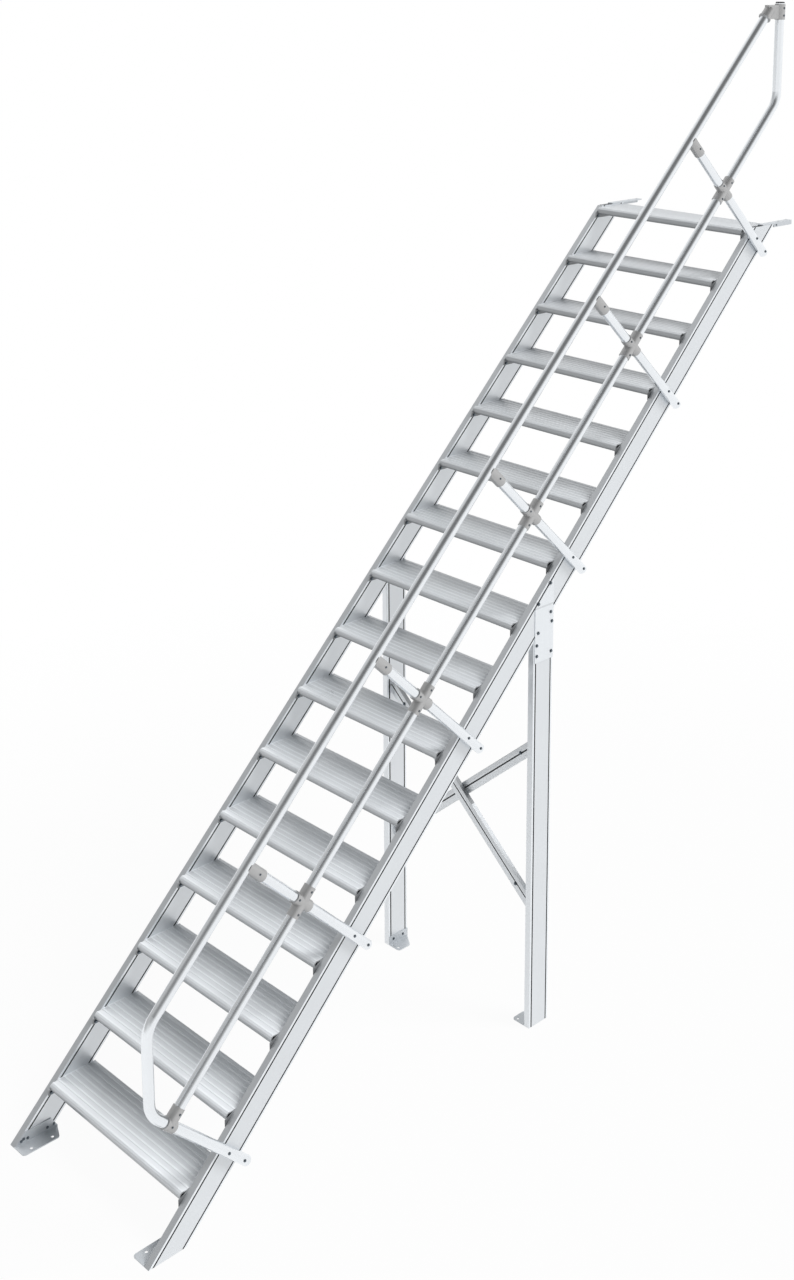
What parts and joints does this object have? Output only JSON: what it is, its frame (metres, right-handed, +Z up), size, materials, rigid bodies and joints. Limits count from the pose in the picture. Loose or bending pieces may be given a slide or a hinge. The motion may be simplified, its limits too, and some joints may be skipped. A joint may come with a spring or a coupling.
{
  "type": "aluminium ship ladder stair",
  "caption": "Straight steep industrial stair with open ribbed treads, hollow stringers, a tube handrail on the right and two braced support posts.",
  "frame": {"origin": "on the floor, below the middle of the stair's bounding box", "axes": "+X from the foot of the stair towards the landing, +Y to the climber's left, +Z up"},
  "size_m": [3.6222, 0.9788, 4.3172],
  "materials": {
    "profile_aluminium": "pale satin anodised extrusion",
    "tread_aluminium": "ribbed mill extrusion",
    "tube_aluminium": "smooth polished tube",
    "cast_aluminium": "fine grained casting",
    "sheet_aluminium": "plain sheet and angle",
    "black_plastic": "moulded plug"
  },
  "bodies": {
    "root": {"stringer_right": "profile_aluminium", "stringer_left": "profile_aluminium", "support_post_right": "profile_aluminium", "support_post_left": "profile_aluminium", "brace_front": "profile_aluminium", "brace_rear": "profile_aluminium", "tread_01": "tread_aluminium", "tread_02": "tread_aluminium", "tread_03": "tread_aluminium", "tread_04": "tread_aluminium", "tread_05": "tread_aluminium", "tread_06": "tread_aluminium", "tread_07": "tread_aluminium", "tread_08": "tread_aluminium", "tread_09": "tread_aluminium", "tread_10": "tread_aluminium", "tread_11": "tread_aluminium", "tread_12": "tread_aluminium", "tread_13": "tread_aluminium", "tread_14": "tread_aluminium", "tread_15": "tread_aluminium", "top_tread": "tread_aluminium", "gusset_plate_right": "sheet_aluminium", "gusset_plate_left": "sheet_aluminium", "brace_cleats": "sheet_aluminium", "stringer_foot_right": "sheet_aluminium", "stringer_foot_left": "sheet_aluminium", "post_foot_right": "sheet_aluminium", "post_foot_left": "sheet_aluminium", "landing_bracket_right": "sheet_aluminium", "landing_bracket_left": "sheet_aluminium", "top_rail": "tube_aluminium", "mid_rail": "tube_aluminium", "rail_post_1": "tube_aluminium", "rail_post_2": "tube_aluminium", "rail_post_3": "tube_aluminium", "rail_post_4": "tube_aluminium", "rail_post_5": "tube_aluminium", "rail_brackets": "cast_aluminium", "cross_clamps": "cast_aluminium", "end_clamp": "cast_aluminium", "elbow_clamp": "cast_aluminium", "end_cap": "black_plastic"}
  },
  "joints": []
}
